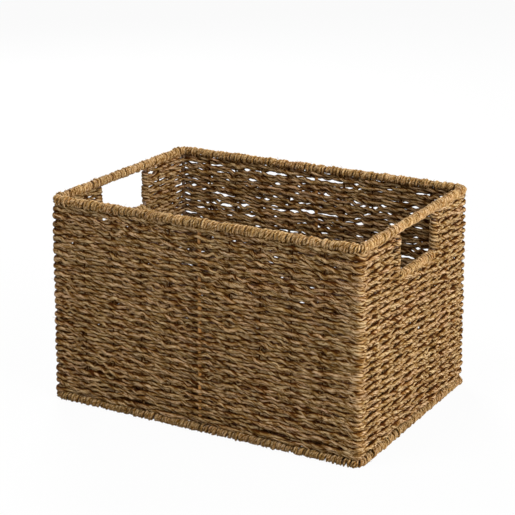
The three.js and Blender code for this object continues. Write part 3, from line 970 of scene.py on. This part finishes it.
class BASKET_OT_uprights(bpy.types.Operator):
    """Lay the upright cords that the wefts go round"""

    bl_idname = "basket.uprights"
    bl_label = "Upright cords"

    # The upright cords are darker than the wefts: painted shade in the pits between the wefts
    groove_share, lay_share, paleness = 0.65, 0.8, -0.35

    def execute(self, context):
        cord = context.scene.basket_cord
        rng = np.random.default_rng(cord.seed + 4)
        routes = {}
        for i, x in enumerate(x for x in LONG_PLACES if x):
            routes[f"through_cord_{i + 1}"] = (through_path(x, cord), ALONG_LENGTH)
        for side, sign in (("left", -1), ("right", 1)):
            for i in range(END_WALL_CORDS):
                node = f"{side}_cord_{i + 1}"
                path = end_cord_path(sign, middle(node, 1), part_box(node)[1].z)
                routes[node] = (path, ALONG_WIDTH)
        for node, (path, reference) in routes.items():
            mesh = CordMesh(f"{node}_twisted")
            add_twisted_cord(mesh, rng, path, reference, cord.upright_reach,
                             self.groove_share * cord.upright_reach, self.lay_share * cord.weft_lay,
                             cord.unevenness, sides=8, paleness=self.paleness, wound=True)
            mesh.build(weft_material(context), [node])
        return {"FINISHED"}


class BASKET_OT_wires(bpy.types.Operator):
    """Set the wires of the frame: the middle hoop, the hand hoops and the corner posts"""

    bl_idname = "basket.wires"
    bl_label = "Wires"

    def execute(self, context):
        cord = context.scene.basket_cord
        finish = context.scene.basket_finish
        brown = named_material("brown_wire", coated_wire, finish.wire_colour)
        golden = named_material("golden_wire", coated_wire, finish.hoop_colour)

        def wire(name, path, material, slot, node):
            bpy.ops.curve.primitive_nurbs_path_add(location=(0, 0, 0))
            piece = context.object
            piece.name = name
            line = piece.data
            line.splines.clear()
            spline = line.splines.new("POLY")
            spline.points.add(len(path) - 1)
            for point, place in zip(spline.points, path):
                point.co = (*place, 1)
            line.bevel_depth = cord.wire_radius
            line.bevel_resolution = 2
            line.use_fill_caps = True
            bpy.ops.object.convert(target="MESH")
            piece.data.shade_smooth()
            piece.data.materials.clear()
            piece.data.materials.append(material)
            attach(piece, "root")
            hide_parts(node)
            piece.select_set(False)

        wire("middle_hoop_wire", through_path(0, cord), golden, "mid_hoop", "mid_hoop")
        for side, sign in (("left", -1), ("right", 1)):
            wire(f"{side}_hand_hoop_wire", hoop_path(sign), brown, "frame_wire", f"{side}_hand_hoop")
        for i, node in enumerate(("corner_post_front_1", "corner_post_front_2",
                                  "corner_post_back_1", "corner_post_back_2")):
            z = np.linspace(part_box(node)[0].z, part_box(node)[1].z, 40)
            starts = ring_sizes(z, cord.corner_bend)[3]
            path = on_ring(starts[i], z, cord.corner_bend)[0]
            wire(f"{node}_wire", path, brown, "frame_wire", node)
        for node in ("rim_wire", "foot_wire"):
            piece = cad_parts[node]
            piece.data.materials.clear()
            piece.data.materials.append(brown)
        return {"FINISHED"}


# How often a winding's turns stand in or out and stray aside, in pitches
STAND_SPACING, STRAY_SPACING = 1.5, 1.2
STRAND_UNEVENNESS = 0.12


def add_winding(mesh, rng, total, place, radius, wound, floor=0.0, paleness=0.0):
    """Strands wound side by side round a wire. place gives the wire's middle and outward direction."""
    turns = round(total / wound.pitch / wound.starts)
    count = turns * wound.steps
    for start in range(wound.starts):
        angle = FULL_TURN * (np.arange(count) / wound.steps + start / wound.starts)
        s = total * np.arange(count) / count
        wire, out = place(s)
        ahead = unit(np.gradient(wire, axis=0))
        up = np.cross(out, ahead)
        radial = out * np.cos(angle)[:, None] + up * np.sin(angle)[:, None]
        stand = smooth(rng, s, STAND_SPACING * wound.pitch, wound.unevenness) + radius - wound.reach
        stray = smooth(rng, s, STRAY_SPACING * wound.pitch, wound.unevenness)
        path = wire + radial * stand[:, None] + ahead * stray[:, None]
        path[:, 2] = np.maximum(path[:, 2], floor)
        add_twisted_cord(mesh, rng, path, radial, wound.reach, wound.groove, wound.lay,
                         STRAND_UNEVENNESS, sides=8, paleness=paleness, wound=True)


class BASKET_OT_windings(bpy.types.Operator):
    """Wind the strand over the rim, the foot and the sills of the hand holes"""

    bl_idname = "basket.windings"
    bl_label = "Windings"

    def execute(self, context):
        cord = context.scene.basket_cord
        wound = context.scene.basket_winding
        rng = np.random.default_rng(cord.seed + 5)
        material = wound_material(context)
        walls = ("front", "back", "left", "right")
        for name, z, paleness in (("rim", RIM_Z, 0), ("foot", FOOT_Z, -0.2)):
            total = ring_length(z, cord.corner_bend)

            def place(s, z=z):
                return on_ring(s, z, cord.corner_bend)

            mesh = CordMesh(f"{name}_winding")
            add_winding(mesh, rng, total, place, WRAP_RADIUS, wound, wound.reach, paleness)
            mesh.build(material, [f"{name}_wrap_{wall}" for wall in walls])
        half_bend = HOOP_BEND * (1 - math.sin(HALF_TURN / 4))
        for side, sign in (("left", -1), ("right", 1)):
            path = hoop_path(sign)
            path = path[path[:, 2] < SILL_Z + half_bend]
            lengths = np.concatenate([[0], np.cumsum(np.linalg.norm(np.diff(path, axis=0), axis=1))])

            def place(s, path=path, lengths=lengths, sign=sign):
                points = np.stack([np.interp(s, lengths, path[:, axis]) for axis in range(3)], axis=1)
                return points, np.broadcast_to(sign * ALONG_LENGTH, points.shape)

            mesh = CordMesh(f"{side}_sill_winding")
            add_winding(mesh, rng, lengths[-1], place, SILL_WRAP_RADIUS, wound)
            mesh.build(material, [f"{side}_sill_wrap"])
        return {"FINISHED"}


class BASKET_OT_fibres(bpy.types.Operator):
    """Let loose ends of leaf stand out of the walls and the windings"""

    bl_idname = "basket.fibres"
    bl_label = "Loose fibres"

    wound_share, outside_share = 0.3, 0.75
    root_depth = 1 * MM
    beside_hole, below_sill, inside_wall = 3 * MM, 8 * MM, 5 * MM
    wound_spread, wall_spread = 0.6, 0.35
    rises, droop_spread = (0.05, 0.3), 0.15
    hue_spread, lightnesses = 0.2, (0.7, 1.2)
    rings, taper = 5, 0.7

    def execute(self, context):
        cord = context.scene.basket_cord
        fibre = context.scene.basket_fibre
        rng = np.random.default_rng(cord.seed + 6)
        mesh = CordMesh("loose_fibres")
        angles = FULL_TURN * np.arange(3) / 3
        profile = fibre.radius * np.stack([np.cos(angles), np.sin(angles)], axis=1)
        share = np.linspace(0, 1, self.rings)[:, None]
        for _fibre in range(fibre.count):
            wound = rng.uniform() < self.wound_share
            z = rng.choice([RIM_Z, RIM_Z, FOOT_Z]) if wound else rng.uniform(FOOT_Z, WEAVE_TOP)
            bend = cord.corner_bend if wound else cord.weave_bend
            s = np.array([rng.uniform(0, ring_length(z, bend))])
            root, outward = (vector[0] for vector in on_ring(s, z, bend))
            if self.in_hand_hole(root):
                continue
            ahead = np.cross(UP, outward)
            if wound:
                turn = rng.uniform(-0.5, 0.5) * HALF_TURN
                away = outward * math.cos(turn) + UP * math.sin(turn)
                root = root + away * (WRAP_RADIUS - self.root_depth)
                along = np.cross(away, ahead) * rng.choice([-1, 1])
                along = along + ahead * rng.normal(0, self.wound_spread)
            else:
                away = outward if rng.uniform() < self.outside_share else -outward
                root = root + away * (cord.swing + 0.3 * cord.weft_reach)
                along = ahead * rng.choice([-1, 1]) + UP * rng.normal(0, self.wall_spread)
            along = along / np.linalg.norm(along)
            length = fibre.shortest + (fibre.longest - fibre.shortest) * rng.uniform() ** 2
            rise = rng.uniform(*self.rises)
            droop = rng.normal(0, self.droop_spread)
            curl = droop * UP + 0.5 * rise * away
            path = root + length * (share * (along + rise * away) + share ** 2 * curl)
            path[:, 2] = np.maximum(path[:, 2], fibre.radius)
            dye_and_shade = (rng.normal(0.5, self.hue_spread), rng.uniform(*self.lightnesses), 0)
            dye_and_shade = np.zeros((self.rings, 3, 3)) + dye_and_shade
            mesh.add(path, away, profile, np.zeros(self.rings), 1 - self.taper * share, dye_and_shade)
        mesh.build(weft_material(context), [])
        return {"FINISHED"}

    def in_hand_hole(self, root):
        """Whether a root would be in a hand hole or in the winding of its sill."""
        x, y, z = root
        across = abs(x) > HALF_LENGTH - self.inside_wall and abs(y) < LEG_PLACE + self.beside_hole
        return across and SILL_Z - self.below_sill < z < RIM_Z


class BASKET_OT_stage(bpy.types.Operator):
    """Set up the floor, the studio light and the camera"""

    bl_idname = "basket.stage"
    bl_label = "Stage"

    def execute(self, context):
        stage = context.scene.basket_stage
        bpy.ops.mesh.primitive_plane_add(size=12, location=(0, 0, 0))
        floor = context.object
        floor.name = "floor"
        floor.data.materials.append(white_floor())
        white_room(context.scene, stage.room_light)
        self.lamp("key_lamp", (1.7, -0.27, 0.8), (0.02, 0, 0.1), 1.4, stage.key_power)
        self.lamp("fill_lamp", (-0.35, -0.85, 2.0), (0, 0, 0.1), 0.6, stage.fill_power)
        self.lamp("back_lamp", (-1.2, 1.3, 1.2), (0, 0, 0.1), 0.8, stage.back_power)
        sine, cosine = math.sin(stage.azimuth), math.cos(stage.azimuth)
        level = math.cos(stage.elevation)
        back = Vector((sine * level, -cosine * level, math.sin(stage.elevation)))
        place = Vector(stage.target) + back * stage.distance
        bpy.ops.object.camera_add(location=place, rotation=back.to_track_quat("Z", "Y").to_euler())
        camera = context.object
        camera.data.lens = stage.lens
        camera.data.sensor_width = 36
        context.scene.camera = camera
        context.scene.view_settings.view_transform = "Standard"
        return {"FINISHED"}

    def lamp(self, name, place, target, size, power):
        turn = (Vector(place) - Vector(target)).to_track_quat("Z", "Y").to_euler()
        bpy.ops.object.light_add(type="AREA", location=place, rotation=turn)
        lamp = bpy.context.object
        lamp.name = name
        lamp.data.size = size
        lamp.data.energy = power


def seen_directly(tree):
    """1 where a ray comes from the camera, a reflection or a refraction, and 0 elsewhere."""
    rays = tree.add("ShaderNodeLightPath", {}).outputs
    reflected = tree.maths("MAXIMUM", rays["Is Camera Ray"], rays["Is Glossy Ray"])
    return tree.maths("MAXIMUM", reflected, rays["Is Transmission Ray"])


def white_floor():
    """White floor that keeps a faint shadow."""
    material = bpy.data.materials.new("floor_white")
    tree = NodeTree(material)
    tree.nodes.remove(tree.nodes["Principled BSDF"])
    plain = tree.add("ShaderNodeBsdfDiffuse", {"Color": (0.65, 0.65, 0.65, 1)}).outputs[0]
    glow = tree.add("ShaderNodeEmission", {}).outputs[0]
    share = tree.maths("MULTIPLY", seen_directly(tree), 0.95)
    surface = tree.add("ShaderNodeMixShader", {0: share, 1: plain, 2: glow}).outputs[0]
    tree.feed(tree.nodes["Material Output"], {"Surface": surface})
    return material


def white_room(scene, strength):
    """White all round where it is seen, and a softer light on the basket."""
    scene.world = bpy.data.worlds.new("white_room")
    tree = NodeTree(scene.world)
    mix = tree.add("ShaderNodeMix", {"Factor": seen_directly(tree), "A": strength, "B": 1})
    tree.feed(tree.nodes["Background"], {"Color": (1, 1, 1, 1), "Strength": mix.outputs["Result"]})


STEPS = (
    BASKET_OT_stage,
    BASKET_OT_wires,
    BASKET_OT_uprights,
    BASKET_OT_lower_wefts,
    BASKET_OT_upper_wefts,
    BASKET_OT_base,
    BASKET_OT_windings,
    BASKET_OT_fibres,
)

SETTINGS = {
    "basket_cord": BasketCordSettings,
    "basket_winding": BasketWindingSettings,
    "basket_fibre": BasketFibreSettings,
    "basket_finish": BasketFinishSettings,
    "basket_stage": BasketStageSettings,
}


class BASKET_PT_sidebar(bpy.types.Panel):
    """The steps of making the basket, and its sizes and colours"""

    bl_idname = "BASKET_PT_sidebar"
    bl_label = "Magazine basket"
    bl_space_type = "VIEW_3D"
    bl_region_type = "UI"
    bl_category = "Basket"

    def draw(self, context):
        for step in STEPS:
            self.layout.operator(step.bl_idname)
        for settings in SETTINGS:
            box = self.layout.box()
            group = getattr(context.scene, settings)
            for name in group.__annotations__:
                box.prop(group, name)


def register():
    for name, group in SETTINGS.items():
        bpy.utils.register_class(group)
        setattr(bpy.types.Scene, name, PointerProperty(type=group))
    for step in STEPS:
        bpy.utils.register_class(step)
    bpy.utils.register_class(BASKET_PT_sidebar)


def unregister():
    bpy.utils.unregister_class(BASKET_PT_sidebar)
    for step in reversed(STEPS):
        bpy.utils.unregister_class(step)
    for name, group in SETTINGS.items():
        delattr(bpy.types.Scene, name)
        bpy.utils.unregister_class(group)


def main():
    register()
    bpy.ops.object.select_all(action="DESELECT")
    for step in STEPS:
        category, name = step.bl_idname.split(".")
        getattr(getattr(bpy.ops, category), name)()


if __name__ == "__main__":
    main()
